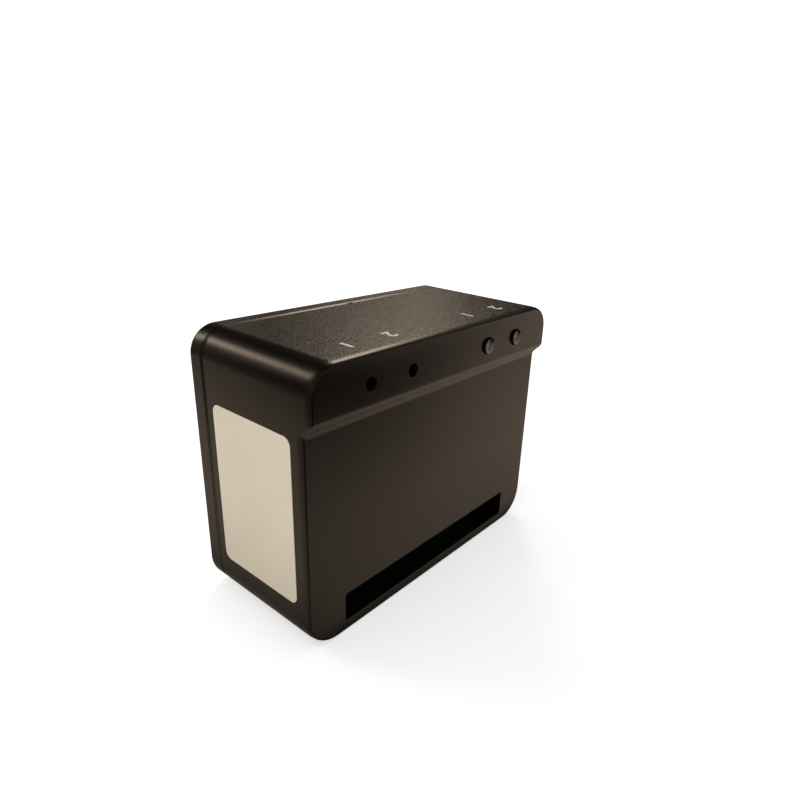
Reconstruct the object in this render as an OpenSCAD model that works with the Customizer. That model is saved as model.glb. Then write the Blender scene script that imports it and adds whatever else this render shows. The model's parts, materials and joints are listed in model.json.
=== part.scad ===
/* [Case] */
// Width of the case across the front
case_w = 70; // [69:0.5:84]
// Height of the case
case_h = 55.3; // [54:0.1:66]
// Depth of the case behind its lower front face
case_d = 31.3; // [29:0.1:42]
// How far the upper front band stands in front of the lower face
band_step = 2.2; // [1.6:0.1:3.2]
// Height of the flat part of the band, below the top of the case
band_h = 8.9; // [8:0.1:10.5]
// Wall thickness
wall = 2; // [1.8:0.1:2.4]
// Radius of the two top corners
top_r = 5.3; // [4.6:0.1:7]
// Radius of the two bottom corners
base_r = 6.7; // [4.6:0.1:8]
// Depth of the rolled front edges, front to back
edge_run = 1.8; // [0.8:0.1:2]
// Width of the rolled front edges, seen from the front
edge_in = 0.45; // [0.3:0.05:0.7]
// Rounding of the lower edge of the band
bend_r = 1.7; // [0.8:0.1:1.7]
// Radius of the hollow where the band runs into the lower face
hollow_r = 1.7; // [0.8:0.1:2.4]

/* [Front openings] */
// Distance of the inner LED and button from the middle
hole_inner = 11.7; // [11.5:0.1:13]
// Distance of the outer LED and button from the middle
hole_outer = 22.2; // [21:0.1:23]
// Distance of the hole centres below the top
hole_drop = 5.4; // [5.2:0.1:5.8]
// Diameter of an LED hole
led_hole_d = 2.5; // [2:0.1:2.8]
// Gap round a button in its hole
button_gap = 0.25; // [0.15:0.05:0.4]
// Width of the screwdriver slot
slot_w = 52.8; // [48:0.1:54]
// Height of the screwdriver slot
slot_h = 6.1; // [5:0.1:6.6]
// Height of the slot's lower edge
slot_z = 2.5; // [2.2:0.1:3.4]
// Corner radius of the slot
slot_r = 0.7; // [0.3:0.1:1.5]
// Width across of the wire slot in the base, front to back
wire_slot_d = 4.6; // [4.2:0.1:5.4]

/* [Back cover] */
// Depth of the cover behind the parting line
cover_d = 4.4; // [3.6:0.1:6]
// Thickness of the cover's plate
cover_t = 2; // [1.6:0.1:2.6]
// Rounding of the back edge
back_edge_r = 0.8; // [0.3:0.1:1.2]
// Depth of the cover's tongue inside the case
tongue_d = 2.2; // [2:0.1:3]
// Gap between tongue and case
tongue_gap = 0.1; // [0.05:0.05:0.2]
// Depth of the bevels along the parting line, into the surface
seam = 0.2; // [0.1:0.05:0.3]
// Width of the cover's bevel behind the parting line
cover_bevel = 0.9; // [0.4:0.1:1.2]
// Length of a snap ridge
snap_l = 10; // [6:0.5:14]
// Width of the pry notch
notch_w = 1.4; // [1:0.1:3]
// Distance of the pry notch from the middle
notch_x = 1; // [-8:0.5:8]

/* [Side label] */
// Length of the label, front to back
label_w = 21.6; // [16:0.1:22]
// Height of the label
label_h = 32.7; // [24:0.1:34]
// Distance of the label behind the lower front face
label_y = 3.2; // [2.6:0.1:4]
// Height of the label's lower edge
label_z = 9.7; // [8:0.1:12]
// Corner radius of the label
label_r = 1.6; // [0.6:0.1:3]
// Thickness of the label
label_t = 0.12; // [0.08:0.02:0.2]

/* [Board] */
// Distance of the board's front surface behind the lower front face
board_set = 16.7; // [16:0.1:18]
// Board thickness
board_t = 1.6; // [1.2:0.1:2]
// Gap between the board's edge and the case
board_gap = 0.4; // [0.3:0.1:0.6]
// Diameter of a board boss
boss_d = 5; // [4.6:0.1:5.2]
// Diameter of a board screw
screw_d = 2.2; // [1.8:0.1:2.4]
// Length of a board screw under its head
screw_l = 7; // [5:0.5:9]

/* [Buttons] */
// Diameter of a button stem
button_d = 3.2; // [2.8:0.1:3.4]
// How far a button stands in front of the band
button_out = 1; // [0.6:0.1:1.6]
// Radius of the domed tip of a button
button_tip_r = 3; // [2.4:0.1:6]
// Travel of a button
button_travel = 0.25; // [0.2:0.01:0.3]
// Width of a switch body
switch_w = 6; // [5.8:0.1:6.2]
// Height of a switch body above the board
switch_h = 3.4; // [3.3:0.1:4]

/* [LEDs] */
// Diameter of an LED
led_d = 3; // [2.8:0.1:3.2]
// Length of an LED behind its tip
led_l = 5.3; // [4.6:0.1:6]

/* [Terminal block] */
// Spacing of the ten ways
pitch = 5.08; // [5:0.01:5.08]
// Height of the block above the board
block_h = 10; // [10:0.1:11]
// Depth of the block from its wire face
block_d = 7.8; // [7.6:0.1:8.4]
// Diameter of a terminal screw
clamp_screw_d = 2.5; // [2.2:0.1:2.6]
// Head diameter of a terminal screw
clamp_head_d = 3.7; // [3.4:0.1:3.8]
// Travel of a clamp
clamp_travel = 1.3; // [1:0.1:1.3]
// Width of a clamp
clamp_w = 3.6; // [3.4:0.1:3.7]

/* [Hidden] */
$fn = 64;

// How far a cut runs past the surface it opens
over = 1;

// Planes from front to back
tip_y = -(button_out + band_step + case_d) / 2;
band_y = tip_y + button_out;
face_y = band_y + band_step;
back_y = face_y + case_d;
part_y = back_y - cover_d;
board_y = face_y + board_set;

// Bends below the band
slope = 45;
bends = bend_r + hollow_r;
slope_l = (band_step - bends * (1 - cos(slope))) / sin(slope);
bend_y = band_y + bend_r;
bend_z = case_h - band_h;
hollow_y = face_y - hollow_r;
hollow_z = bend_z - bends * sin(slope) - slope_l * cos(slope);
slope_top = bend_z - bend_r * sin(slope);
slope_foot = hollow_z + hollow_r * sin(slope);
corner_steps = 8;
bend_steps = 4;
edge_steps = 7;

// Holes of the band
hole_z = case_h - hole_drop;
button_hole_d = button_d + 2 * button_gap;

// Seat of the back cover
lip_t = wall / 2;
tongue_t = wall - lip_t - tongue_gap;
ridge = 0.35;
snap_y = 1.5;
snap_d = 0.7;
snap_play = 0.2;
notch_d = 0.6;
plate_in = wall - 0.3;
roof_z = bend_z + 0.4;
roof_r = 0.5;

// Board and its bosses
inner_w = case_w - 2 * wall;
inner_h = case_h - 2 * wall;
board_w = inner_w - 2 * board_gap;
board_h = inner_h - 2 * board_gap;
board_z = wall + board_gap;
boss_side = 1.3;
boss_gap = 0.6;
boss_x = case_w / 2 - wall - boss_side - boss_d / 2;
pilot_gap = 0.05;
rib_t = 1.2;
rib_drop = 2;

// Terminal block, heights above the board
ways = 10;
block_w = ways * pitch + 0.6;
block_z = wall + 0.3;
wire_slot_gap = 0.9;
wire_slot_w = block_w - 0.4;
way_z = block_z + 3.4;
clamp_gap = 0.15;
clamp_d = 4.2;
clamp_plate = 0.7;
clamp_nut = 1.1;
clamp_low = 1.4;
clamp_free = 0.6;
window_h = 2.9;
clamp_h = clamp_plate + window_h + clamp_nut;
tongue_low = clamp_low + clamp_plate + 1.8;
contact_t = 0.7;
web_low = clamp_low + clamp_h + clamp_travel + 0.3;
web_t = 0.6;
head_low = web_low + web_t + 0.1;
head_h = 1;
shank_gap = 0.05;
cell_w = clamp_w + 2 * clamp_gap;
cell_d = clamp_d + 0.6;
leg_z = way_z + clamp_d / 2 + 0.3;
leg_t = 0.6;
port_low = 1.3;
port_h = 3.4;
port_w = 3.2;
contact_w = 1.2;
contact_pin = 0.9;
groove_w = 0.4;
groove_d = 0.6;
drive_w = 0.7;
drive_d = 0.6;

// Bosses lie clear of the terminal block and of the switches
boss_low = block_z + block_d + boss_gap + boss_d / 2;
boss_high = hole_z - switch_w / 2 - boss_gap - boss_d / 2;
boss_at = [[-boss_x, boss_low], [boss_x, boss_low], [-boss_x, boss_high], [boss_x, boss_high]];

// Sizes of the parts on the board: across, out of the board, up
relay_size = [15.5, 11.8, 10.5];
relay_foot = 0.8;
relay_pin_x = 6.2;
relay_pin_z = 3.8;
relay_pins = [[-relay_pin_x, -relay_pin_z], [-relay_pin_x, relay_pin_z], [0, -relay_pin_z],
  [relay_pin_x, -relay_pin_z], [relay_pin_x, relay_pin_z]];
mark_d = 1.2;
mark_deep = 0.3;
// Capacitors: diameter, height and half the spacing of the leads
input_cap = [8, 11.5, 1.75];
output_cap = [6.3, 11, 1.25];
cap_groove_r = 0.5;
cap_groove_y = 1.6;
// Parts of the supply and of the drivers
coil_w = 7.3;
coil_h = 4.5;
chip_size = [3.9, 1.6, 4.9];
chip_lift = 0.15;
chip_leg = 1.2;
chip_pitch = 1.27;
diode_size = [4.2, 2.1, 2.6];
diode_lead = [5, 0.25, 1.4];
driver_size = [2.9, 1.1, 1.3];
driver_lead = [0.4, 0.15, 2.4];
resistor_size = [2, 0.5, 1.2];
radio_w = 16;
radio_h = 22;
radio_t = 0.8;
radio_top = 0.2;
shield_t = 2.3;
shield_side = 1.8;
shield_low = 1;
antenna_h = 7.6;

// Places of the parts on the board, across and up, in rows above the terminal block
part_gap = 0.8;
row_1 = block_z + block_d + part_gap;
row_2 = row_1 + relay_size[2] + part_gap;
row_3 = row_2 + coil_w + part_gap;
relay_x = -boss_x + boss_d / 2 + part_gap + relay_size[0] / 2;
relay_step = relay_size[0] + part_gap;
relay_at = [for (k = [0, 1]) [relay_x + k * relay_step, row_1 + relay_size[2] / 2]];
input_cap_at = [relay_at[1][0] + relay_size[0] / 2 + part_gap + input_cap[0] / 2, row_1 + input_cap[0] / 2];
column_1 = radio_w / 2 + part_gap + coil_w / 2;
column_2 = column_1 + coil_w / 2 + part_gap + output_cap[0] / 2;
coil_at = [column_1, row_2 + coil_w / 2];
output_cap_at = [column_2, row_2 + output_cap[0] / 2];
chip_at = [column_1, row_3 + chip_size[2] / 2];
diode_z = diode_size[2] / 2;
diode_at = [[column_2, row_3 + diode_z], [column_2, row_3 + 3 * diode_z + part_gap],
  [relay_at[0][0], row_2 + diode_z], [relay_at[1][0], row_2 + diode_z]];
driver_at = [for (r = relay_at) [r[0] + diode_lead[0], row_2 + driver_lead[2] / 2]];
resistor_x = -radio_w / 2 - part_gap - resistor_size[0] / 2;
resistor_step = [3.5, 3];
resistor_at = [for (i = [0 : 3], k = [0, 1])
  [resistor_x - i * resistor_step[0], row_3 + k * resistor_step[1]]];
radio_z = board_z + board_h - radio_h - radio_top;
switch_pins = [[-3.25, -2.25], [3.25, -2.25], [-3.25, 2.25], [3.25, 2.25]];
frame_t = 0.3;
stem_foot = 0.55;
stem_foot_d = 4.2;
foot_low = switch_h - frame_t - 0.35 - stem_foot;
stem_l = board_y - foot_low - tip_y;
tip_rise = button_tip_r - sqrt(button_tip_r * button_tip_r - button_d * button_d / 4);
well_d = 4.6;
well_low = foot_low - button_travel - 0.75;
dome_r = 2.1;
dome_rise = 0.28;
dome_t = 0.12;
led_tip_y = band_y + wall + 0.3;
led_back_y = led_tip_y + led_l;
led_foot = 1;

// Leads of the parts and their holes in the board
pin_out = 1.1;
lead_hole_d = 0.9;
cap_lead_d = 0.6;
led_lead_d = 0.5;
led_lead_x = 0.75;
led_rim = 0.8;
screw_hole_d = screw_d + 0.4;
switch_hole_d = 1.1;
relay_hole_d = 1.3;
contact_hole_d = 1.5;

module block(x, y, z, w, d, h) {
  translate([x - w / 2, y, z])
    cube([w, d, h]);
}

module rod(x, y, z, d, l) {
  translate([x, y, z])
    rotate([-90, 0, 0])
      cylinder(d = d, h = l);
}

module sheet(y, t) {
  translate([0, y + t, 0])
    rotate([90, 0, 0])
      linear_extrude(t)
        children();
}

module rounded(w, z, h, low_r, high_r) {
  big_r = max(low_r, high_r);
  translate([-w / 2 + big_r, z])
    square([w - 2 * big_r, h]);
  translate([-w / 2, z + low_r])
    square([w, h - low_r - high_r]);
  translate([-w / 2 + low_r, z])
    square([w - 2 * low_r, h / 2]);
  translate([-w / 2 + high_r, z + h / 2])
    square([w - 2 * high_r, h / 2]);
  for (side = [-1, 1]) {
    translate([side * (w / 2 - low_r), z + low_r])
      circle(low_r);
    translate([side * (w / 2 - high_r), z + h - high_r])
      circle(high_r);
  }
}

// Quarter turn of a profile about an axis that runs front to back
module corner(x, z, start) {
  translate([x, 0, z])
    rotate([-90, 0, 0])
      rotate([0, 0, start])
        rotate_extrude(angle = 90)
          children();
}

// Profile swept round the outline; its x is 0 on the outline and its y runs front to back
module around(w, z, h, low_r, high_r) {
  for (side = [0, 1])
    mirror([side, 0, 0]) {
      corner(w / 2 - low_r, z + low_r, 0)
        translate([low_r, 0])
          children();
      corner(w / 2 - high_r, z + h - high_r, -90)
        translate([high_r, 0])
          children();
      translate([w / 2, 0, z + low_r])
        linear_extrude(h - low_r - high_r)
          children();
    }
  translate([w / 2 - high_r, 0, z + h])
    rotate([0, -90, 0])
      linear_extrude(w - 2 * high_r)
        children();
  translate([-w / 2 + low_r, 0, z])
    rotate([0, 90, 0])
      linear_extrude(w - 2 * low_r)
        children();
}

// Front surface at a given height: band, bend, slope, hollow, lower face
function front_at(z) =
  z >= bend_z ? band_y
  : z >= slope_top ? bend_y - sqrt(bend_r * bend_r - (bend_z - z) * (bend_z - z))
  : z >= slope_foot ? bend_y - bend_r * cos(slope) + (slope_top - z) * tan(slope)
  : z > hollow_z ? hollow_y + sqrt(hollow_r * hollow_r - (z - hollow_z) * (z - hollow_z))
  : face_y;

// Right half of the outline from base to top, as place and outward direction
half = concat(
  [for (k = [0 : corner_steps]) let (a = 90 * k / corner_steps - 90)
    [case_w / 2 - base_r + base_r * cos(a), base_r + base_r * sin(a), cos(a), sin(a)]],
  [for (k = [0 : bend_steps]) [case_w / 2, hollow_z + hollow_r * sin(slope * k / bend_steps), 1, 0]],
  [for (k = [bend_steps : -1 : 0]) [case_w / 2, bend_z - bend_r * sin(slope * k / bend_steps), 1, 0]],
  [for (k = [0 : corner_steps]) let (a = 90 * k / corner_steps)
    [case_w / 2 - top_r + top_r * cos(a), case_h - top_r + top_r * sin(a), cos(a), sin(a)]]);

// Point of the front edge beside outline point p, at angle a of its elliptical roll
function edge_point(p, a, side) = let (
    inward = edge_in * (1 - cos(a)),
    z = p[1] - inward * p[3])
  [side * (p[0] - inward * p[2]), front_at(z) + edge_run * (1 - sin(a)), z];

// One turn round the outline, at angle a of the roll
function turn(a) = concat(
  [for (p = half) edge_point(p, a, 1)],
  [for (k = [len(half) - 1 : -1 : 0]) edge_point(half[k], a, -1)]);

// Solid outside of the case, with its front edge rolled
module case_body() {
  n = len(half);
  m = 2 * n;
  back = [for (p = turn(0)) [p[0], part_y, p[2]]];
  front = [for (k = [0 : edge_steps]) each turn(90 * k / edge_steps)];
  sides = [for (r = [0 : edge_steps], i = [0 : m - 1]) let (j = (i + 1) % m)
    each [[r * m + i, r * m + m + i, r * m + m + j], [r * m + i, r * m + m + j, r * m + j]]];
  last = (edge_steps + 1) * m;
  cap = [for (i = [0 : n - 2]) [last + i, last + m - 1 - i, last + m - 2 - i, last + i + 1]];
  polyhedron(concat(back, front), concat([[for (i = [0 : m - 1]) i]], sides, cap));
}

module case_shell() {
  difference() {
    case_body();
    sheet(face_y + wall, case_d)
      rounded(inner_w, wall, inner_h, base_r - wall, top_r - wall);
    sheet(band_y + wall, case_d)
      rounded(inner_w, roof_z, case_h - wall - roof_z, roof_r, top_r - wall);
  }
}

// Four places of the snap ridges, as boxes of a given depth into the lip
module snaps(reach, y, d, extra) {
  l = snap_l + extra;
  for (side = [-1, 1])
    block(side * (case_w / 2 - lip_t - tongue_gap - 0.05 + reach / 2), y, case_h / 2 - l / 2,
      reach + 0.1, d, l);
  block(0, y, lip_t + tongue_gap - reach, l, d, reach + 0.1);
  for (side = [-1, 1])
    block(side * case_w / 4, y, case_h - lip_t - tongue_gap - 0.1, l, d, reach + 0.1);
}

module front_case() {
  color("#1b1a19")
    difference() {
      union() {
        case_shell();
        for (p = boss_at) {
          rod(p[0], face_y + wall / 2, p[1], boss_d, board_set - wall / 2);
          block(sign(p[0]) * (boss_x + (inner_w / 2 - boss_x) / 2 + 0.5), face_y + wall / 2, p[1] - rib_t / 2,
            inner_w / 2 - boss_x + 1, board_set - wall / 2 - rib_drop, rib_t);
        }
      }
      for (p = boss_at)
        rod(p[0], board_y - screw_l - 0.5, p[1], screw_d + 2 * pilot_gap, screw_l + 1);
      for (x = [-hole_outer, -hole_inner])
        rod(x, band_y - over, hole_z, led_hole_d, wall + 2 * over);
      for (x = [hole_inner, hole_outer])
        rod(x, band_y - over, hole_z, button_hole_d, wall + 2 * over);
      sheet(face_y - over, wall + 2 * over)
        rounded(slot_w, slot_z, slot_h, slot_r, slot_r);
      block(0, board_y - wire_slot_gap - wire_slot_d, -over, wire_slot_w, wire_slot_d, wall + 2 * over);
      around(case_w, 0, case_h, base_r, top_r)
        translate([-wall - 0.5, part_y - tongue_d - 0.2])
          square([wall - lip_t + 0.5, tongue_d + 1.2]);
      snaps(ridge + snap_play, part_y - snap_y - snap_play, snap_d + 2 * snap_play, 3 * snap_play);
      around(case_w, 0, case_h, base_r, top_r)
        polygon([[seam, part_y + seam], [seam, part_y - 2 * seam], [-2 * seam, part_y + seam]]);
      block(notch_x, part_y - notch_d, case_h - notch_d, notch_w, notch_d + over, notch_d + over);
    }
}

module back_cover() {
  color("#1b1a19")
    difference() {
      union() {
        around(case_w, 0, case_h, base_r, top_r) {
          translate([-wall, part_y])
            square([wall, cover_d - back_edge_r]);
          translate([-wall, part_y])
            square([wall - back_edge_r, cover_d]);
          translate([-back_edge_r, back_y - back_edge_r])
            intersection() {
              circle(back_edge_r);
              square(back_edge_r);
            }
          translate([-wall, part_y - tongue_d])
            square([tongue_t, tongue_d + 1]);
        }
        sheet(back_y - cover_t, cover_t)
          rounded(case_w - 2 * plate_in, plate_in, case_h - 2 * plate_in,
            base_r - plate_in, top_r - plate_in);
        snaps(ridge, part_y - snap_y, snap_d, 0);
      }
      around(case_w, 0, case_h, base_r, top_r)
        polygon([[-2 * seam, part_y - cover_bevel], [seam, part_y + 2 * cover_bevel],
          [seam, part_y - cover_bevel]]);
      block(notch_x, part_y - over, case_h - notch_d, notch_w, notch_d + over, notch_d + over);
    }
}

module side_label() {
  color("#e9e4d6")
    translate([-case_w / 2 - label_t, face_y + label_y + label_w / 2, 0])
      rotate([90, 0, 90])
        linear_extrude(label_t)
          rounded(label_w, label_z, label_h, label_r, label_r);
}

// Hole through the board
module drill(x, z, d) {
  rod(x, board_y - over, z, d, board_t + 2 * over);
}

module main_board() {
  color("#1f5a34")
    difference() {
      sheet(board_y, board_t)
        rounded(board_w, board_z, board_h, base_r - wall, top_r - wall);
      for (p = boss_at)
        drill(p[0], p[1], screw_hole_d);
      for (k = [1 : ways])
        drill(way_x(k), leg_z + leg_t / 2, contact_hole_d);
      for (x = [hole_inner, hole_outer], p = switch_pins)
        drill(x + p[0], hole_z + p[1], switch_hole_d);
      for (x = [-hole_inner, -hole_outer], s = [-1, 1])
        drill(x + s * led_lead_x, hole_z, lead_hole_d);
      for (r = relay_at, p = relay_pins)
        drill(r[0] + p[0], r[1] + p[1], relay_hole_d);
      for (s = [-1, 1]) {
        drill(input_cap_at[0] + s * input_cap[2], input_cap_at[1], lead_hole_d);
        drill(output_cap_at[0] + s * output_cap[2], output_cap_at[1], lead_hole_d);
      }
    }
}

module board_screws() {
  color("#8d8f92")
    for (p = boss_at)
      difference() {
        union() {
          rod(p[0], board_y + board_t - screw_l, p[1], screw_d, screw_l + 0.4);
          rod(p[0], board_y + board_t, p[1], 2 * screw_d, 1.4);
        }
        for (turn = [0, 90])
          translate([p[0], board_y + board_t + 1.1, p[1]])
            rotate([0, turn, 0])
              cube([2.4, 1.2, 0.5], center = true);
      }
}

function way_x(k) = (k - (ways + 1) / 2) * pitch;

module terminal_housing() {
  color("#2f7d4a")
    difference() {
      block(0, board_y - block_h, block_z, block_w, block_h, block_d);
      for (k = [1 : ways]) {
        x = way_x(k);
        block(x, board_y - web_low, way_z - clamp_d / 2 - 0.3, cell_w, web_low + over, cell_d);
        rod(x, board_y - block_h - over, way_z, clamp_head_d + 0.3, block_h - web_low - web_t + over);
        rod(x, board_y - block_h - over, way_z, clamp_screw_d + 2 * shank_gap, block_h);
        block(x, board_y - port_low - port_h, block_z - over, port_w, port_h, 2 * over);
        block(x, board_y - tongue_low - contact_t, leg_z, contact_w, tongue_low + contact_t + over, leg_t);
      }
      for (k = [1 : ways - 1])
        block((way_x(k) + way_x(k + 1)) / 2, board_y - block_h - over, block_z - over, groove_w,
          groove_d + over, block_d + 2 * over);
    }
}

module terminal_contacts() {
  color("#b9a878")
    for (k = [1 : ways]) {
      x = way_x(k);
      block(x, board_y - tongue_low - contact_t, way_z - clamp_d / 2 + 0.3, contact_w, contact_t,
        leg_z + leg_t - way_z + clamp_d / 2 - 0.3);
      block(x, board_y - tongue_low - contact_t, leg_z, contact_w, tongue_low + contact_t, leg_t);
      block(x, board_y - 0.1, leg_z, contact_pin, board_t + pin_out + 0.1, leg_t);
    }
}

module terminal_screw(k) {
  color("#a9abad")
    difference() {
      union() {
        rod(way_x(k), board_y - head_low - head_h, way_z, clamp_head_d, head_h);
        rod(way_x(k), board_y - head_low - 0.2, way_z, clamp_screw_d,
          head_low + 0.2 - tongue_low - contact_t - 0.3);
      }
      block(way_x(k), board_y - head_low - head_h - over, way_z - clamp_head_d, drive_w, drive_d + over,
        2 * clamp_head_d);
    }
}

module terminal_clamp(k) {
  color("#9c9fa2")
    difference() {
      block(way_x(k), board_y - clamp_low - clamp_h, way_z - clamp_d / 2, clamp_w, clamp_h, clamp_d);
      block(way_x(k), board_y - clamp_low - clamp_plate - window_h, way_z - clamp_d,
        clamp_w - 1.2, window_h, 2 * clamp_d);
      rod(way_x(k), board_y - clamp_low - clamp_h - over, way_z, clamp_screw_d + 2 * shank_gap,
        over + clamp_nut + clamp_travel + clamp_free);
    }
}

// Turned stem: domed tip, shank and a flange that the switch's frame holds back
module button_plunger(x) {
  color("#151515")
    translate([x, tip_y, hole_z])
      rotate([-90, 0, 0])
        rotate_extrude() {
          intersection() {
            square([button_d / 2, button_tip_r]);
            translate([0, button_tip_r])
              circle(button_tip_r);
          }
          translate([0, tip_rise])
            square([button_d / 2, stem_l - tip_rise]);
          translate([0, stem_l - stem_foot])
            square([stem_foot_d / 2, stem_foot]);
        }
}

module button_base(x) {
  color("#262626")
    difference() {
      block(x, board_y - switch_h + frame_t, hole_z - switch_w / 2, switch_w, switch_h - frame_t, switch_w);
      rod(x, board_y - switch_h, hole_z, well_d, switch_h - well_low);
    }
}

module button_frames() {
  color("#b4b6b8")
    for (x = [hole_inner, hole_outer])
      difference() {
        block(x, board_y - switch_h, hole_z - switch_w / 2, switch_w, frame_t, switch_w);
        rod(x, board_y - switch_h - over, hole_z, button_d + 2 * button_gap, frame_t + 2 * over);
      }
}

module button_domes() {
  color("#c2b280")
    for (x = [hole_inner, hole_outer])
      translate([x, board_y - well_low, hole_z])
        rotate([90, 0, 0])
          rotate_extrude()
            polygon([[0, dome_rise], [dome_r / 2, 0.8 * dome_rise], [dome_r, 0], [dome_r, dome_t],
              [dome_r / 2, 0.8 * dome_rise + dome_t], [0, dome_rise + dome_t]]);
}

module button_legs() {
  color("#b4b6b8")
    for (x = [hole_inner, hole_outer], p = switch_pins) {
      block(x + p[0], board_y - 0.8, hole_z + p[1] - 0.35, 0.5, board_t + pin_out + 0.8, 0.7);
    }
}

module led(x) {
  color("#e8e8e2") {
    translate([x, led_tip_y + led_d / 2, hole_z])
      sphere(d = led_d);
    rod(x, led_tip_y + led_d / 2, hole_z, led_d, led_l - led_d / 2);
    rod(x, led_back_y - led_foot, hole_z, led_d + led_rim, led_foot);
  }
}

module led_spacers() {
  color("#202020")
    for (x = [-hole_inner, -hole_outer])
      difference() {
        rod(x, led_back_y, hole_z, led_d + led_rim, board_y - led_back_y);
        for (s = [-1, 1])
          rod(x + s * led_lead_x, led_back_y - over, hole_z, led_lead_d + 0.3,
            board_y - led_back_y + 2 * over);
      }
}

module led_leads() {
  color("#b4b6b8")
    for (x = [-hole_inner, -hole_outer], s = [-1, 1])
      rod(x + s * led_lead_x, led_back_y, hole_z, led_lead_d, board_y + board_t + pin_out - led_back_y);
}

module relay_case(p) {
  color("#20303f")
    difference() {
      block(p[0], board_y - relay_size[1], p[1] - relay_size[2] / 2, relay_size[0],
        relay_size[1] - relay_foot, relay_size[2]);
      rod(p[0] + relay_pin_x, board_y - relay_size[1] - over, p[1] + relay_pin_z, mark_d, mark_deep + over);
    }
}

module relay_base(p) {
  color("#2a2a2a") {
    block(p[0], board_y - relay_foot, p[1] - relay_size[2] / 2 + 0.4, relay_size[0] - 0.8,
      relay_foot, relay_size[2] - 0.8);
    for (q = relay_pins)
      block(p[0] + q[0], board_y - relay_foot, p[1] + q[1] - 0.2, 0.8, relay_foot + board_t + pin_out, 0.4);
  }
}

module radio_board() {
  color("#22384a")
    block(0, board_y - radio_t, radio_z, radio_w, radio_t, radio_h);
}

module radio_shield() {
  color("#b9bbbd")
    block(0, board_y - radio_t - shield_t, radio_z + shield_low, radio_w - 2 * shield_side, shield_t,
      radio_h - shield_low - antenna_h);
}

module can(at, size) {
  difference() {
    rod(at[0], board_y - size[1], at[1], size[0], size[1]);
    translate([at[0], board_y - cap_groove_y, at[1]])
      rotate([-90, 0, 0])
        rotate_extrude()
          translate([size[0] / 2 + 0.3 * cap_groove_r, 0])
            circle(cap_groove_r);
  }
  for (s = [-1, 1])
    rod(at[0] + s * size[2], board_y - 0.2, at[1], cap_lead_d, board_t + pin_out + 0.2);
}

module input_capacitor() {
  color("#26324a")
    can(input_cap_at, input_cap);
}

module output_capacitor() {
  color("#26324a")
    can(output_cap_at, output_cap);
}

module power_inductor() {
  color("#4a4a4c")
    difference() {
      block(coil_at[0], board_y - coil_h, coil_at[1] - coil_w / 2, coil_w, coil_h, coil_w);
      for (turn = [0, 90, 180, 270])
        translate([coil_at[0], board_y - coil_h / 2, coil_at[1]])
          rotate([0, turn, 0])
            translate([coil_w / 2, 0, coil_w / 2])
              rotate([0, 45, 0])
                cube([1.6, coil_h + 2, 1.6], center = true);
    }
}

module regulator_body() {
  color("#1c1c1c")
    block(chip_at[0], board_y - chip_size[1], chip_at[1] - chip_size[2] / 2, chip_size[0],
      chip_size[1] - chip_lift, chip_size[2]);
}

// Gull-wing legs of the regulator: out of the body, down and along the board
module regulator_legs() {
  leg_x = chip_size[0] / 2;
  knee = chip_size[1] / 2 + 0.15;
  color("#b4b6b8")
    for (s = [-1, 1], k = [-1.5 : 1 : 1.5]) {
      z = chip_at[1] + k * chip_pitch - 0.2;
      block(chip_at[0] + s * (leg_x + chip_leg / 4), board_y - knee, z, chip_leg / 2, 0.2, 0.4);
      block(chip_at[0] + s * (leg_x + chip_leg / 2 - 0.1), board_y - knee, z, 0.2, knee, 0.4);
      block(chip_at[0] + s * (leg_x + 0.75 * chip_leg - 0.1), board_y - 0.2, z, chip_leg / 2 + 0.2, 0.2, 0.4);
    }
}

module power_diodes() {
  color("#1c1c1c")
    for (p = diode_at) {
      block(p[0], board_y - diode_size[1], p[1] - diode_size[2] / 2, diode_size[0],
        diode_size[1] - diode_lead[1] + 0.05, diode_size[2]);
      block(p[0], board_y - diode_lead[1], p[1] - diode_lead[2] / 2, diode_lead[0],
        diode_lead[1], diode_lead[2]);
    }
}

module relay_drivers() {
  color("#1c1c1c")
    for (p = driver_at) {
      block(p[0], board_y - driver_size[1], p[1] - driver_size[2] / 2, driver_size[0],
        driver_size[1] - driver_lead[1] + 0.05, driver_size[2]);
      block(p[0], board_y - driver_lead[1], p[1], driver_lead[0], driver_lead[1], driver_lead[2] / 2);
      for (s = [-1, 1])
        block(p[0] + s * driver_size[0] / 3, board_y - driver_lead[1], p[1] - driver_lead[2] / 2,
          driver_lead[0], driver_lead[1], driver_lead[2] / 2);
    }
}

module chip_resistors() {
  color("#2b2b2b")
    for (p = resistor_at)
      block(p[0], board_y - resistor_size[1], p[1], resistor_size[0], resistor_size[1], resistor_size[2]);
}

front_case();
back_cover();
side_label();
main_board();
board_screws();
terminal_housing();
terminal_contacts();
terminal_screw(1);  // terminal_screw_01
terminal_screw(2);  // terminal_screw_02
terminal_screw(3);  // terminal_screw_03
terminal_screw(4);  // terminal_screw_04
terminal_screw(5);  // terminal_screw_05
terminal_screw(6);  // terminal_screw_06
terminal_screw(7);  // terminal_screw_07
terminal_screw(8);  // terminal_screw_08
terminal_screw(9);  // terminal_screw_09
terminal_screw(10);  // terminal_screw_10
terminal_clamp(1);  // terminal_clamp_01
terminal_clamp(2);  // terminal_clamp_02
terminal_clamp(3);  // terminal_clamp_03
terminal_clamp(4);  // terminal_clamp_04
terminal_clamp(5);  // terminal_clamp_05
terminal_clamp(6);  // terminal_clamp_06
terminal_clamp(7);  // terminal_clamp_07
terminal_clamp(8);  // terminal_clamp_08
terminal_clamp(9);  // terminal_clamp_09
terminal_clamp(10);  // terminal_clamp_10
button_plunger(hole_inner);  // button_1_plunger
button_plunger(hole_outer);  // button_2_plunger
button_base(hole_inner);  // button_1_base
button_base(hole_outer);  // button_2_base
button_frames();
button_domes();
button_legs();
led(-hole_outer);  // led_1
led(-hole_inner);  // led_2
led_spacers();
led_leads();
relay_case(relay_at[0]);  // relay_1_case
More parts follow.
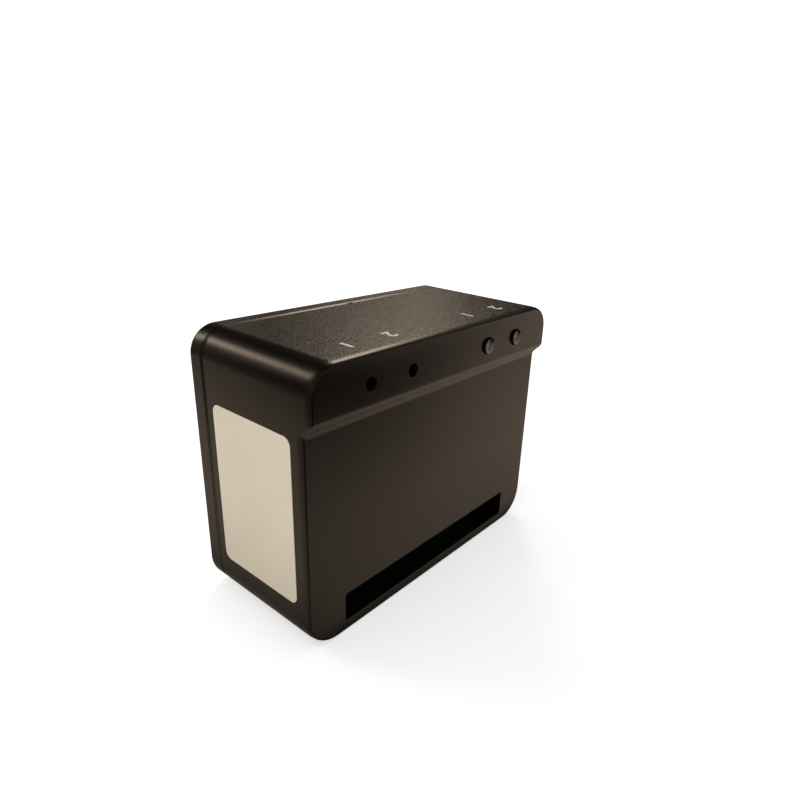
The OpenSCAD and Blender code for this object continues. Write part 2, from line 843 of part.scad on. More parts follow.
relay_base(relay_at[0]);  // relay_1_base
relay_case(relay_at[1]);  // relay_2_case
relay_base(relay_at[1]);  // relay_2_base
radio_board();
radio_shield();
input_capacitor();
output_capacitor();
power_inductor();
regulator_body();
regulator_legs();
power_diodes();
relay_drivers();
chip_resistors();
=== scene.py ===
import json
import math

import bpy
from mathutils import Matrix, Vector


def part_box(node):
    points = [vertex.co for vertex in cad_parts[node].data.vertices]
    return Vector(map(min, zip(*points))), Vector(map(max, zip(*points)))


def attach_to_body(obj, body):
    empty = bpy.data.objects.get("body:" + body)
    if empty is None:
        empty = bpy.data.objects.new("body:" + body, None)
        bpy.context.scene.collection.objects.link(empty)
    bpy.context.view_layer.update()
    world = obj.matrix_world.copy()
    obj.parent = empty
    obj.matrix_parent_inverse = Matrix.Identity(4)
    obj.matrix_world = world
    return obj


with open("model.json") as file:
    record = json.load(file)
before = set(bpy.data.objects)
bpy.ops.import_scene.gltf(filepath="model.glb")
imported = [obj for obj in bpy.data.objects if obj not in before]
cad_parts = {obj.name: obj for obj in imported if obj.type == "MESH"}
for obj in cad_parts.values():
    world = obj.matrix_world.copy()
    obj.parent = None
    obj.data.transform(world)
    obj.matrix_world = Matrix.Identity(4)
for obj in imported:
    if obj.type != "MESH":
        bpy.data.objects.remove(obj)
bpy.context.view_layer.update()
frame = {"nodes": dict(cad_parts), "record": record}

MM = 0.001

# Camera, in millimetres of the shared frame; the image is taken as 800 by 800
CAMERA_EYE = (-89.393, -82.426, 83.863)
CAMERA_TARGET = (9.365, -6.301, 34.665)
CAMERA_ROLL = 0.05301
FOCAL_PIXELS = 604.375
CENTRE_PIXELS = (439.73, 404.50)
IMAGE_PIXELS = 800
SENSOR_WIDTH = 36
CLIP_NEAR = 0.005
CLIP_FAR = 20

# Places on the case that its finish and its painted light and shade depend on, in metres
case_low, case_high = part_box("front_case")
case_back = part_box("back_cover")[1].y
BAND_STEP = 2.2 * MM
BAND_FOOT = case_high.z - 9.4 * MM
BAND_BLEND = 1.2 * MM
LEDGE = (case_high.z - 14.0 * MM, case_high.z - 8.5 * MM)
# Heights over which painted shade on the label fades, darkest below the first
LABEL_PAINTED_SHADE = (8 * MM, 26 * MM)
# Depths below the outside at which a surface starts to count as inside and at which it fully does; at a corner the
# depths from its two sides are added
SKIN = (1.0 * MM, 1.6 * MM)
FACE_SKIN = (0.15 * MM, 0.6 * MM)
CORNER_SKIN = (4.2 * MM, 5.5 * MM)

# Part of the normal along an axis at which a finish of the case, or the painted light on its ledge, starts and at
# which it is full
TOP_FACING = (0.988, 0.9995)
BACK_FACING = (0.96, 0.995)
FRONT_FACING = (-0.6, -0.9)
UNDER_FACING = (-0.12, -0.45)

# The same for the tip of a button, for the outer and inner side of its rim, and for the rim's left half, which
# carries a painted highlight in grey
TIP_FACING = (-0.88, -0.96)
RIM_OUTER = (-0.45, -0.75)
RIM_INNER = (-0.985, -0.93)
RIM_PAINTED_HIGHLIGHT = (0.0, -0.35)

# Colours of the case, darkest and lightest: its finishes, painted light on the ledge from its left end to its right
# end, and painted shade inside it
SATIN = ((0.0030, 0.0023, 0.0016), (0.0042, 0.0033, 0.0024))
POLISHED = ((0.0016, 0.0013, 0.0011), (0.0026, 0.0021, 0.0017))
GRAINED_TOP = ((0.0045, 0.0042, 0.0042), (0.021, 0.0202, 0.0208))
GRAINED_BACK = ((0.005, 0.0042, 0.0034), (0.018, 0.015, 0.012))
# Painted light on the ledge, as from the bright floor below, brighter towards its right end
UNDER_PAINTED_LIGHT = ((0.056, 0.045, 0.034), (0.170, 0.137, 0.102))
# Painted shade on the surfaces inside the case
INSIDE_PAINTED_SHADE = (0.0010, 0.0009, 0.0008)

# Roughness of the case's finishes
SATIN_ROUGH = 0.30
POLISHED_ROUGH = 0.20
TOP_ROUGH = (0.20, 0.34)
BACK_ROUGH = 0.42
UNDER_ROUGH = 0.65
INSIDE_ROUGH = 0.30

# Share of the fine pits that is left on the polished band
BAND_PITS = 0.4

# Stretch that most of a noise's values lie in
NOISE_SPAN = (0.3, 0.7)

# Printed numerals on the top; the height of a digit is a share of its font's size
NUMERAL_HEIGHT = 3.0 * MM
NUMERAL_WEIGHT = 0.11 * MM
NUMERAL_SET_BACK = 6.0 * MM
DIGIT_SHARE = 0.7
INK_LIFT = 0.008 * MM
INK_THICKNESS = 0.004 * MM

# Colour of the lamps and of the light from around the object, and of what its surfaces mirror
LAMP_WHITE = (1.0, 0.95, 0.88)
LAMP_WARM = (1.0, 0.85, 0.65)
AROUND_LEVEL = 0.6
MIRRORED = (1.0, 0.81, 0.63)
MIRRORED_LEVEL = 0.29
MIRRORED_FLOOR = 0.75

# Floor: half its side, its colour, and the level added to it in the camera's view, near the object and far from it
FLOOR_REACH = 3.0
FLOOR_COLOUR = (0.78, 0.82, 0.915)
FLOOR_LIFT = (0.12, 0.6, 0.50, 0.75)

# Stretches of the floor, in metres, over which its level in reflections changes, with the two levels if not 0 and 1:
# the strip before the case, the part before its right end, the patch far out, and the dark beyond both ends
STRIP_Y = (-0.115, -0.05, 0.06, 0.88)
SLANT = 2.13
RIGHT_SLANT = (-0.165, -0.062)
PATCH_X = (0.095, 0.11)
PATCH_Y = (-0.140, -0.155)
LEFT_END_X = (-0.06, -0.02)
RIGHT_END_X = (0.16, 0.13)
RIGHT_END_Y = (-0.045, -0.065)
# The painted shadow where the case meets the floor, at its front, its sides and its back, and the dark far to each
# side
FRONT_CONTACT_Y = (-0.0135, -0.018)
FRONT_FADE_Y = (-0.020, -0.040, 0.68, 1)
SIDE_CONTACT_X = (0.038, 0.049, 0.3, 1)
BACK_CONTACT_Y = (0.020, 0.040, 0.3, 0.7)
SIDE_FAR_X = (0.098, 0.122, 1, 0.25)
BEHIND_Y = (-0.04, 0.0, 0, MIRRORED_FLOOR)

# Height of the card over the object
CEILING = 0.60

# Angle above which an edge of a CAD mesh stays sharp; the cover's bevel turns through only 12.5 degrees
SHARP_ANGLE = math.radians(32)
COVER_SHARP_ANGLE = math.radians(11.5)
# Distance within which the points of a CAD mesh are welded
WELD = 0.0005 * MM


def new_material(name):
    """Material with its node tree and its shader."""
    material = bpy.data.materials.new(name)
    material.use_nodes = True
    tree = material.node_tree
    return material, tree, tree.nodes["Principled BSDF"]


def plug(tree, socket, value):
    """Links an output to a socket, or sets the socket to a plain value."""
    if isinstance(value, bpy.types.NodeSocket):
        tree.links.new(value, socket)
    else:
        socket.default_value = value


def node(tree, kind, **values):
    """Shader node with input sockets or properties set by name; a socket given as value is linked."""
    made = tree.nodes.new(kind)
    for key, value in values.items():
        name = key.replace("_", " ")
        socket = made.inputs.get(name) or made.inputs.get(name.title())
        if socket is None:
            setattr(made, key, value)
        else:
            plug(tree, socket, value)
    return made


def attach(tree, shader, colour, roughness, normal=None):
    """Links the colour, roughness and normal of a material to its shader."""
    tree.links.new(colour, shader.inputs["Base Color"])
    tree.links.new(roughness, shader.inputs["Roughness"])
    if normal is not None:
        tree.links.new(normal, shader.inputs["Normal"])


def object_place(tree):
    """Place in the object's own frame; that of a CAD node at rest is the shared frame."""
    return node(tree, "ShaderNodeTexCoord").outputs["Object"]


def components(tree, vector):
    """X, Y and Z of a vector."""
    return node(tree, "ShaderNodeSeparateXYZ", Vector=vector).outputs


def noise(tree, scale, detail=3.0, roughness=0.5, stretch=(1, 1, 1)):
    """Noise value in the object's own place, with features of about 1 / scale metres."""
    place = node(tree, "ShaderNodeMapping", Vector=object_place(tree), Scale=stretch)
    made = node(tree, "ShaderNodeTexNoise", Vector=place.outputs["Vector"], Scale=scale, Detail=detail,
                Roughness=roughness)
    return made.outputs["Fac"]


def spread(tree, value, low, high, start=0.0, end=1.0):
    """Value taken from the stretch low to high onto the stretch start to end."""
    made = node(tree, "ShaderNodeMapRange", Value=value)
    for name, number in (("From Min", low), ("From Max", high), ("To Min", start), ("To Max", end)):
        made.inputs[name].default_value = number
    return made.outputs["Result"]


def even_out(tree, value, start=0.0, end=1.0):
    """Noise value taken onto the stretch start to end."""
    return spread(tree, value, *NOISE_SPAN, start, end)


def combined(tree, operation, *values):
    """Numbers and sockets taken together by an operation of the Math node."""
    result = values[0]
    for value in values[1:]:
        made = node(tree, "ShaderNodeMath", operation=operation)
        plug(tree, made.inputs[0], result)
        plug(tree, made.inputs[1], value)
        result = made.outputs["Value"]
    return result


def product(tree, *values):
    """Product of numbers and sockets."""
    return combined(tree, "MULTIPLY", *values)


def largest(tree, *values):
    """Largest of numbers and sockets."""
    return combined(tree, "MAXIMUM", *values)


def distance(tree, value, middle):
    """Distance of a value from a middle."""
    made = node(tree, "ShaderNodeMath", operation="ABSOLUTE")
    tree.links.new(combined(tree, "SUBTRACT", value, middle), made.inputs[0])
    return made.outputs["Value"]


def blend_colour(tree, fac, a, b):
    """Colour a where fac is 0 and b where it is 1; each is a colour or a socket."""
    made = node(tree, "ShaderNodeMix", data_type="RGBA")
    tree.links.new(fac, made.inputs[0])
    for socket, value in zip((made.inputs[6], made.inputs[7]), (a, b)):
        plug(tree, socket, value if isinstance(value, bpy.types.NodeSocket) else (*value, 1))
    return made.outputs[2]


def grey(level):
    """Colour with the same level in red, green and blue; as a roughness it is that level."""
    return (level, level, level)


def bump(tree, height, strength, depth, normal=None):
    """Normal of a surface with a relief of a depth in metres, laid over another normal if one is given."""
    made = node(tree, "ShaderNodeBump", Height=height, Strength=strength, Distance=depth)
    if normal is not None:
        tree.links.new(normal, made.inputs["Normal"])
    return made.outputs["Normal"]


def moulded(name, dark, light, roughness=(0.4, 0.55), depth=0.01):
    """Moulded plastic: mottled colour, uneven gloss and a fine grain of a depth in millimetres."""
    material, tree, shader = new_material(name)
    mottle = noise(tree, 260, detail=4)
    fine = noise(tree, 2500, detail=2)
    attach(tree, shader,
           blend_colour(tree, even_out(tree, mottle), dark, light),
           even_out(tree, fine, *roughness),
           bump(tree, fine, 0.35, depth * MM))
    shader.inputs["Specular IOR Level"].default_value = 0.4
    return material


def metal(name, dark, light):
    """Plated metal with drawn marks along its length."""
    material, tree, shader = new_material(name)
    marks = noise(tree, 1800, detail=4, stretch=(1, 8, 1))
    cloud = noise(tree, 300, detail=3)
    attach(tree, shader,
           blend_colour(tree, even_out(tree, cloud), dark, light),
           even_out(tree, marks, 0.22, 0.42),
           bump(tree, marks, 0.2, 0.004 * MM))
    shader.inputs["Metallic"].default_value = 1
    return material


def gap_to(tree, value, middle, reach):
    """Distance of a value from the nearer end of a stretch about its middle."""
    return spread(tree, distance(tree, value, middle), 0, reach, reach, 0)


def case_inside(tree, place):
    """1 on the surfaces inside the case and 0 on its outside."""
    middle = case_high.z / 2
    side = gap_to(tree, place["X"], 0, case_high.x)
    end = gap_to(tree, place["Z"], middle, middle)
    face = case_low.y + BAND_STEP
    return product(
        tree,
        spread(tree, side, *SKIN),
        spread(tree, end, *SKIN),
        spread(tree, combined(tree, "ADD", side, end), *CORNER_SKIN),
        spread(tree, place["Y"], face + FACE_SKIN[0], face + FACE_SKIN[1]),
        spread(tree, place["Y"], case_back - SKIN[0], case_back - SKIN[1]))


def case_plastic(name):
    """Black moulded case: grained top and back, polished band, painted light on the ledge, satin elsewhere, painted
    shade inside.
    """
    material, tree, shader = new_material(name)
    coords = node(tree, "ShaderNodeTexCoord").outputs
    place = components(tree, coords["Object"])
    facing = components(tree, coords["Normal"])
    on_top = spread(tree, place["Z"], case_high.z - SKIN[0], case_high.z - SKIN[0] / 3)
    top = product(tree, spread(tree, facing["Z"], *TOP_FACING), on_top)
    at_back = spread(tree, place["Y"], case_back - SKIN[0], case_back - SKIN[0] / 3)
    back = product(tree, spread(tree, facing["Y"], *BACK_FACING), at_back)
    above_foot = spread(tree, place["Z"], BAND_FOOT, BAND_FOOT + BAND_BLEND)
    band = product(tree, spread(tree, facing["Y"], *FRONT_FACING), above_foot)
    ledge = product(
        tree,
        spread(tree, facing["Z"], *UNDER_FACING),
        spread(tree, place["Z"], LEDGE[0] - BAND_BLEND, LEDGE[0]),
        spread(tree, place["Z"], LEDGE[1] + BAND_BLEND, LEDGE[1]))
    inside = case_inside(tree, place)

    mottle = even_out(tree, noise(tree, 90, detail=5, roughness=0.6))
    grain = spread(tree, noise(tree, 2300, detail=2, roughness=0.6), 0.36, 0.64)
    pits = even_out(tree, noise(tree, 2600, detail=3, roughness=0.65))
    along = spread(tree, place["X"], case_low.x, case_high.x)

    colour = blend_colour(tree, band, blend_colour(tree, mottle, *SATIN), blend_colour(tree, mottle, *POLISHED))
    # Painted light on the ledge, brighter towards its right end
    colour = blend_colour(tree, ledge, colour, blend_colour(tree, along, *UNDER_PAINTED_LIGHT))
    colour = blend_colour(tree, top, colour, blend_colour(tree, grain, *GRAINED_TOP))
    colour = blend_colour(tree, back, colour, blend_colour(tree, grain, *GRAINED_BACK))
    # Painted shade inside the case
    colour = blend_colour(tree, inside, colour, INSIDE_PAINTED_SHADE)

    rough = blend_colour(tree, band, grey(SATIN_ROUGH), grey(POLISHED_ROUGH))
    rough = blend_colour(tree, ledge, rough, grey(UNDER_ROUGH))
    rough = blend_colour(tree, top, rough, blend_colour(tree, grain, grey(TOP_ROUGH[0]), grey(TOP_ROUGH[1])))
    rough = blend_colour(tree, back, rough, grey(BACK_ROUGH))
    rough = blend_colour(tree, inside, rough, grey(INSIDE_ROUGH))

    off_top = spread(tree, top, 0, 1, 1, 0)
    off_band = spread(tree, band, 0, 1, 1, BAND_PITS)
    fine = bump(tree, product(tree, pits, off_top, off_band), 0.5, 0.015 * MM)
    coarse = bump(tree, product(tree, grain, largest(tree, top, back)), 0.6, 0.05 * MM, fine)
    attach(tree, shader, colour, rough, coarse)
    shader.inputs["Specular IOR Level"].default_value = 0.30
    shader.inputs["Specular Tint"].default_value = (1, 0.94, 0.88, 1)
    return material


def button_plastic(name):
    """Black button: polished sides, a satin tip and a painted highlight in grey on the left half of its rim."""
    material, tree, shader = new_material(name)
    facing = components(tree, node(tree, "ShaderNodeTexCoord").outputs["Normal"])
    tip = spread(tree, facing["Y"], *TIP_FACING)
    rim_highlight = product(
        tree,
        spread(tree, facing["Y"], *RIM_OUTER),
        spread(tree, facing["Y"], *RIM_INNER),
        spread(tree, facing["X"], *RIM_PAINTED_HIGHLIGHT))
    mottle = even_out(tree, noise(tree, 1200, detail=4))
    dark = blend_colour(tree, mottle, (0.0018, 0.0016, 0.0014), (0.0030, 0.0027, 0.0024))
    satin = blend_colour(tree, mottle, (0.014, 0.013, 0.012), (0.024, 0.022, 0.021))
    # Painted highlight on the left half of the rim
    pale = blend_colour(tree, mottle, (0.100, 0.095, 0.090), (0.150, 0.142, 0.135))
    attach(tree, shader,
           blend_colour(tree, rim_highlight, blend_colour(tree, tip, dark, satin), pale),
           blend_colour(tree, tip, grey(0.15), grey(0.28)),
           bump(tree, mottle, 0.2, 0.001 * MM))
    shader.inputs["Specular IOR Level"].default_value = 0.6
    return material


def label_paper(name):
    """Blank cream sticker: soft fibres, a matt coat and painted shade that darkens it towards the bottom."""
    material, tree, shader = new_material(name)
    fibre = noise(tree, 5200, detail=4, stretch=(1, 0.5, 1))
    cloud = noise(tree, 60, detail=3)
    height = components(tree, object_place(tree))["Z"]
    pale = blend_colour(tree, even_out(tree, cloud), (0.70, 0.645, 0.527), (0.75, 0.692, 0.568))
    # Painted shade, darker towards the bottom of the label
    pale = blend_colour(tree, spread(tree, height, *LABEL_PAINTED_SHADE), (0.61, 0.56, 0.455), pale)
    attach(tree, shader,
           blend_colour(tree, spread(tree, fibre, 0.5, 0.85), pale, (0.63, 0.58, 0.475)),
           even_out(tree, fibre, 0.42, 0.58),
           bump(tree, fibre, 0.15, 0.004 * MM))
    shader.inputs["Specular IOR Level"].default_value = 0.3
    return material


def solder_mask(name, mask, trace):
    """Circuit board: solder mask over copper tracks, with a woven ground."""
    material, tree, shader = new_material(name)
    place = object_place(tree)
    tracks = node(tree, "ShaderNodeTexBrick", Vector=place, Scale=260.0, Mortar_Size=0.035).outputs["Fac"]
    weave = node(tree, "ShaderNodeTexChecker", Vector=place, Scale=1400.0).outputs["Fac"]
    deep = tuple(0.75 * c for c in mask)
    attach(tree, shader,
           blend_colour(tree, tracks, blend_colour(tree, weave, mask, deep), trace),
           even_out(tree, noise(tree, 600), 0.25, 0.4),
           bump(tree, tracks, 0.3, 0.03 * MM))
    return material


def lamp_lens(name):
    """Unlit diffused lamp: smoky clear resin with faint cloud inside."""
    material, tree, shader = new_material(name)
    cloud = noise(tree, 900, detail=4)
    attach(tree, shader,
           blend_colour(tree, even_out(tree, cloud), (0.020, 0.018, 0.016), (0.035, 0.031, 0.027)),
           even_out(tree, cloud, 0.12, 0.25))
    shader.inputs["Transmission Weight"].default_value = 0.2
    shader.inputs["IOR"].default_value = 1.5
    return material


def printed_ink(name):
    """Pale screen-printed ink, thin in places."""
    material, tree, shader = new_material(name)
    thin = noise(tree, 1700, detail=5, roughness=0.7)
    attach(tree, shader,
           blend_colour(tree, spread(tree, thin, 0.45, 0.75), (0.76, 0.72, 0.66), (0.40, 0.37, 0.33)),
           even_out(tree, thin, 0.45, 0.7))
    return material


def slot_materials():
    """One material for each material slot of the record."""
    return {
        "case_black": case_plastic("case_black"),
        "label_paper": label_paper("label_paper"),
        "board_green": solder_mask("board_green", (0.012, 0.075, 0.028), (0.02, 0.12, 0.045)),
        "radio_blue": solder_mask("radio_blue", (0.010, 0.022, 0.045), (0.018, 0.038, 0.07)),
        "steel": metal("steel", (0.50, 0.50, 0.50), (0.62, 0.62, 0.61)),
        "contact_brass": metal("contact_brass", (0.52, 0.42, 0.22), (0.66, 0.56, 0.32)),
        "terminal_green": moulded("terminal_green", (0.012, 0.13, 0.045), (0.02, 0.17, 0.06)),
        "button_black": button_plastic("button_black"),
        "switch_black": moulded("switch_black", grey(0.010), grey(0.018)),
        "relay_blue": moulded("relay_blue", (0.008, 0.018, 0.045), (0.012, 0.026, 0.06), roughness=(0.25, 0.4)),
        "can_sleeve": moulded("can_sleeve", (0.008, 0.012, 0.03), (0.013, 0.019, 0.045), roughness=(0.18, 0.3)),
        "ferrite": moulded("ferrite", (0.045, 0.045, 0.048), (0.07, 0.07, 0.073),
                           roughness=(0.5, 0.75), depth=0.03),
        "chip_black": moulded("chip_black", grey(0.008), grey(0.015), roughness=(0.45, 0.65)),
        "led_lens": lamp_lens("led_lens"),
    }


def smooth_group(name, sharp_angle):
    """Modifier tree that welds a CAD mesh and shades it smooth, apart from its sharp edges."""
    group = bpy.data.node_groups.new(name, "GeometryNodeTree")
    group.interface.new_socket("Geometry", in_out="INPUT", socket_type="NodeSocketGeometry")
    group.interface.new_socket("Geometry", in_out="OUTPUT", socket_type="NodeSocketGeometry")
    start = group.nodes.new("NodeGroupInput")
    end = group.nodes.new("NodeGroupOutput")
    weld = group.nodes.new("GeometryNodeMergeByDistance")
    weld.inputs["Distance"].default_value = WELD
    drop = group.nodes.new("GeometryNodeRemoveAttribute")
    drop.inputs["Name"].default_value = "custom_normal"
    faces = group.nodes.new("GeometryNodeSetShadeSmooth")
    edges = group.nodes.new("GeometryNodeSetShadeSmooth")
    edges.domain = "EDGE"
    edges.inputs["Shade Smooth"].default_value = False
    angle = group.nodes.new("GeometryNodeInputMeshEdgeAngle")
    sharp = group.nodes.new("FunctionNodeCompare")
    sharp.inputs["B"].default_value = sharp_angle
    group.links.new(start.outputs[0], weld.inputs["Geometry"])
    group.links.new(weld.outputs["Geometry"], drop.inputs["Geometry"])
    group.links.new(drop.outputs["Geometry"], faces.inputs["Geometry"])
    group.links.new(faces.outputs["Geometry"], edges.inputs["Geometry"])
    group.links.new(angle.outputs["Unsigned Angle"], sharp.inputs["A"])
    group.links.new(sharp.outputs["Result"], edges.inputs["Selection"])
    group.links.new(edges.outputs["Geometry"], end.inputs[0])
    return group


def dress_nodes():
    """Gives each CAD node its material and smooth shading."""
    materials = slot_materials()
    group = smooth_group("smooth_by_angle", SHARP_ANGLE)
    cover_group = smooth_group("smooth_cover", COVER_SHARP_ANGLE)
    for part in frame["record"]["subparts"]:
        cad = frame["nodes"][part["node"]]
        if not cad.material_slots:
            cad.data.materials.append(None)
        for slot in cad.material_slots:
            slot.material = materials[part["material_slot"]]
        shade = cad.modifiers.new("smooth", "NODES")
        shade.node_group = cover_group if part["node"] == "back_cover" else group
        even = cad.modifiers.new("even_normals", "WEIGHTED_NORMAL")
        even.keep_sharp = True


def numeral(name, text, x, y, z, ink):
    """Printed numeral on the top, read from the back of the case."""
    font = bpy.data.curves.new(name, "FONT")
    font.body = text
    font.align_x = "CENTER"
    font.align_y = "CENTER"
    font.size = NUMERAL_HEIGHT / DIGIT_SHARE
    font.offset = NUMERAL_WEIGHT
    font.extrude = INK_THICKNESS / 2
    sketch = bpy.data.objects.new(name + "_sketch", font)
    bpy.context.collection.objects.link(sketch)
    bpy.context.view_layer.update()
    mesh = bpy.data.meshes.new_from_object(sketch.evaluated_get(bpy.context.evaluated_depsgraph_get()))
    bpy.data.objects.remove(sketch)
    mesh.materials.clear()
    mesh.materials.append(ink)
    made = bpy.data.objects.new(name, mesh)
    made.matrix_world = Matrix.Translation((x, y, z)) @ Matrix.Rotation(math.pi, 4, "Z")
    bpy.context.collection.objects.link(made)
    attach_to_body(made, "case")


def print_numerals():
    """A numeral behind each lamp and each button."""
    ink = printed_ink("printed_ink")
    z = case_high.z + INK_LIFT
    y = case_low.y + NUMERAL_SET_BACK
    for owner, text in (("led_1", "1"), ("led_2", "2"), ("button_1_plunger", "1"), ("button_2_plunger", "2")):
        low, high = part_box(owner)
        numeral("numeral_" + owner, text, (low.x + high.x) / 2, y, z, ink)


def mirrored_floor(tree, place):
    """Level of the floor in reflections: bright before the case, dimmer beside and behind it, dark far off."""
    spot = components(tree, place)
    strip = spread(tree, spot["Y"], *STRIP_Y)
    slant = combined(tree, "ADD", spot["X"], product(tree, spot["Y"], SLANT))
    right = spread(tree, slant, *RIGHT_SLANT)
    patch = product(tree, spread(tree, spot["Y"], *PATCH_Y), spread(tree, spot["X"], *PATCH_X))
    before = product(
        tree,
        largest(tree, strip, right, patch),
        spread(tree, spot["X"], *LEFT_END_X),
        largest(tree, spread(tree, spot["X"], *RIGHT_END_X), spread(tree, spot["Y"], *RIGHT_END_Y)),
        spread(tree, spot["Y"], *FRONT_CONTACT_Y),
        spread(tree, spot["Y"], *FRONT_FADE_Y))
    aside = distance(tree, spot["X"], 0)
    behind = product(
        tree,
        spread(tree, spot["Y"], *BEHIND_Y),
        largest(tree, spread(tree, aside, *SIDE_CONTACT_X), spread(tree, spot["Y"], *BACK_CONTACT_Y)),
        spread(tree, aside, *SIDE_FAR_X))
    return largest(tree, before, behind)


def mix_shaders(tree, fac, a, b):
    """Shader a where fac is 0 and b where it is 1."""
    made = node(tree, "ShaderNodeMixShader", Fac=fac)
    tree.links.new(a, made.inputs[1])
    tree.links.new(b, made.inputs[2])
    return made.outputs["Shader"]


def floor_material():
    """White ground that keeps the object's shadow as a soft grey; in reflections it glows with painted light and
    painted shadow.
    """
    material, tree, shader = new_material("floor_white")
    shader.inputs["Base Color"].default_value = (*FLOOR_COLOUR, 1)
    shader.inputs["Roughness"].default_value = 0.9
    shader.inputs["Specular IOR Level"].default_value = 0
    path = node(tree, "ShaderNodeLightPath").outputs
    place = object_place(tree)
    away = node(tree, "ShaderNodeVectorMath", operation="LENGTH")
    tree.links.new(place, away.inputs[0])
    lift = product(tree, path["Is Camera Ray"], spread(tree, away.outputs["Value"], *FLOOR_LIFT))
    glow = node(tree, "ShaderNodeEmission", Color=(1, 1, 1, 1), Strength=lift)
    lit = node(tree, "ShaderNodeAddShader")
    tree.links.new(shader.outputs["BSDF"], lit.inputs[0])
    tree.links.new(glow.outputs["Emission"], lit.inputs[1])
    # In reflections the floor is a glow of painted light, with painted shadow where the case meets it
    mirrored = node(tree, "ShaderNodeEmission", Color=(*MIRRORED, 1), Strength=mirrored_floor(tree, place))
    glossy = largest(tree, path["Is Glossy Ray"], path["Is Transmission Ray"])
    ground = mix_shaders(tree, glossy, lit.outputs["Shader"], mirrored.outputs["Emission"])
    tree.links.new(ground, tree.nodes["Material Output"].inputs["Surface"])
    return material


def flat_sheet(name, corners, material):
    """Flat sheet from its four corners."""
    mesh = bpy.data.meshes.new(name)
    mesh.from_pydata(corners, [], [(0, 1, 2, 3)])
    mesh.materials.append(material)
    made = bpy.data.objects.new(name, mesh)
    bpy.context.collection.objects.link(made)
    return made


def make_floor():
    """Square white ground with the object at its middle."""
    reach = FLOOR_REACH
    corners = [(-reach, -reach, 0), (reach, -reach, 0), (reach, reach, 0), (-reach, reach, 0)]
    floor = flat_sheet("floor", corners, floor_material())


def make_world():
    """White to the eye, a plain level as light, warm and dim in reflections."""
    world = bpy.data.worlds.new("studio")
    world.use_nodes = True
    tree = world.node_tree
    light = tree.nodes["Background"]
    light.inputs["Color"].default_value = (*LAMP_WHITE, 1)
    light.inputs["Strength"].default_value = AROUND_LEVEL
    path = node(tree, "ShaderNodeLightPath").outputs
    mirrored = node(tree, "ShaderNodeBackground", Color=(*MIRRORED, 1), Strength=MIRRORED_LEVEL)
    white = node(tree, "ShaderNodeBackground", Color=(1, 1, 1, 1), Strength=1.0)
    glossy = largest(tree, path["Is Glossy Ray"], path["Is Transmission Ray"])
    around = mix_shaders(tree, glossy, light.outputs["Background"], mirrored.outputs["Background"])
    seen = mix_shaders(tree, path["Is Camera Ray"], around, white.outputs["Background"])
    tree.links.new(seen, tree.nodes["World Output"].inputs["Surface"])
    bpy.context.scene.world = world


def softbox(name, place, size, power, along, colour, mirrored=True):
    """Area lamp that faces the middle of the case, with its length turned towards a direction."""
    lamp = bpy.data.lights.new(name, "AREA")
    lamp.shape = "RECTANGLE"
    lamp.size, lamp.size_y = size
    lamp.energy = power
    lamp.color = colour
    made = bpy.data.objects.new(name, lamp)
    back = (Vector(place) - Vector((0, 0, case_high.z / 2))).normalized()
    width = back.cross(Vector(along)).normalized()
    turn = Matrix((width.cross(back), width, back)).transposed()
    made.matrix_world = Matrix.Translation(place) @ turn.to_4x4()
    made.visible_glossy = mirrored
    bpy.context.collection.objects.link(made)


def make_lights():
    """Two warm lamps behind the case and a white one at its left, which its surfaces don't mirror."""
    softbox("key_back_left", place=(-0.243, 0.464, 0.36), size=(0.30, 0.12), power=0.74,
            along=(0.34, 0.75, -0.55), colour=LAMP_WARM)
    softbox("key_back_right", place=(0.45, 0.378, 0.49), size=(0.16, 0.15), power=0.90,
            along=(0, 0, 1), colour=LAMP_WARM)
    softbox("left_fill", place=(-0.55, -0.18, 0.25), size=(0.45, 0.45), power=0.85,
            along=(0, 1, 0), colour=LAMP_WHITE, mirrored=False)


def black_card(name, corners, material):
    """Black card out of view, which shapes what glossy surfaces mirror and casts no shadow."""
    card = flat_sheet(name, corners, material)
    card.visible_camera = False
    card.visible_diffuse = False
    card.visible_shadow = False


def standing_card(name, material, start, end, low, high):
    """Upright black card from one place on the ground plan to another."""
    black_card(name, [(*start, low), (*end, low), (*end, high), (*start, high)], material)


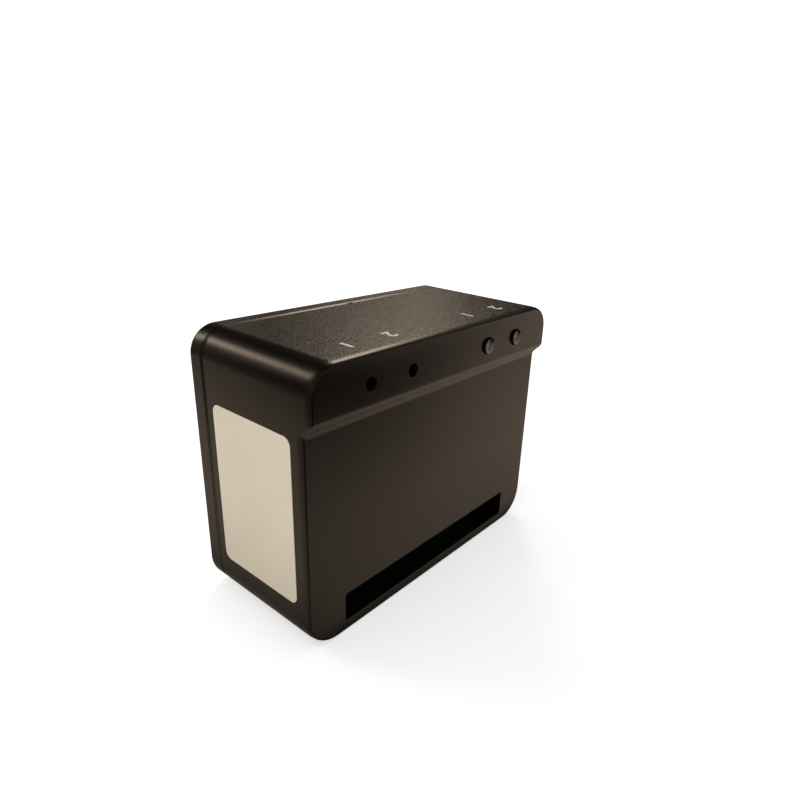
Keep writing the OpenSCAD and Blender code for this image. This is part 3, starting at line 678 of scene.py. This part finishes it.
def make_cards():
    """Dark ceiling and dark cards around, as a studio has round a glossy object."""
    material, _, shader = new_material("card_black")
    shader.inputs["Base Color"].default_value = (0.01, 0.01, 0.01, 1)
    shader.inputs["Specular IOR Level"].default_value = 0
    plan = [(-0.17, -0.15), (0.25, -0.15), (0.25, 0.50), (-0.17, 0.50)]
    black_card("card_ceiling", [(*corner, CEILING) for corner in plan], material)
    standing_card("card_back", material, start=(-0.12, 0.50), end=(0.36, 0.50), low=0.24, high=CEILING)
    standing_card("card_back_low", material, start=(0.30, 0.50), end=(0.55, 0.50), low=0.06, high=0.17)
    standing_card("card_right", material, start=(0.60, 0.43), end=(0.60, -0.05), low=0.02, high=0.38)
    standing_card("card_right_front", material, start=(0.60, -0.05), end=(0.35, -0.45), low=0.0, high=0.40)
    standing_card("card_left", material, start=(-0.35, 0.48), end=(-0.52, 0.30), low=0.0, high=0.20)


def make_camera():
    """Camera of the photograph, fitted to the case's outline."""
    eye = Vector(CAMERA_EYE) * MM
    forward = (Vector(CAMERA_TARGET) * MM - eye).normalized()
    level = forward.cross(Vector((0, 0, 1))).normalized()
    upright = level.cross(forward)
    right = level * math.cos(CAMERA_ROLL) + upright * math.sin(CAMERA_ROLL)
    up = upright * math.cos(CAMERA_ROLL) - level * math.sin(CAMERA_ROLL)
    data = bpy.data.cameras.new("camera")
    data.sensor_width = SENSOR_WIDTH
    data.lens = SENSOR_WIDTH * FOCAL_PIXELS / IMAGE_PIXELS
    data.shift_x = (IMAGE_PIXELS / 2 - CENTRE_PIXELS[0]) / IMAGE_PIXELS
    data.shift_y = (CENTRE_PIXELS[1] - IMAGE_PIXELS / 2) / IMAGE_PIXELS
    data.clip_start = CLIP_NEAR
    data.clip_end = CLIP_FAR
    camera = bpy.data.objects.new("camera", data)
    turn = Matrix((right, up, -forward)).transposed()
    camera.matrix_world = Matrix.Translation(eye) @ turn.to_4x4()
    bpy.context.collection.objects.link(camera)
    bpy.context.scene.camera = camera


bpy.context.scene.view_settings.view_transform = "Standard"
make_camera()
make_world()
make_lights()
make_cards()
make_floor()
dress_nodes()
print_numerals()
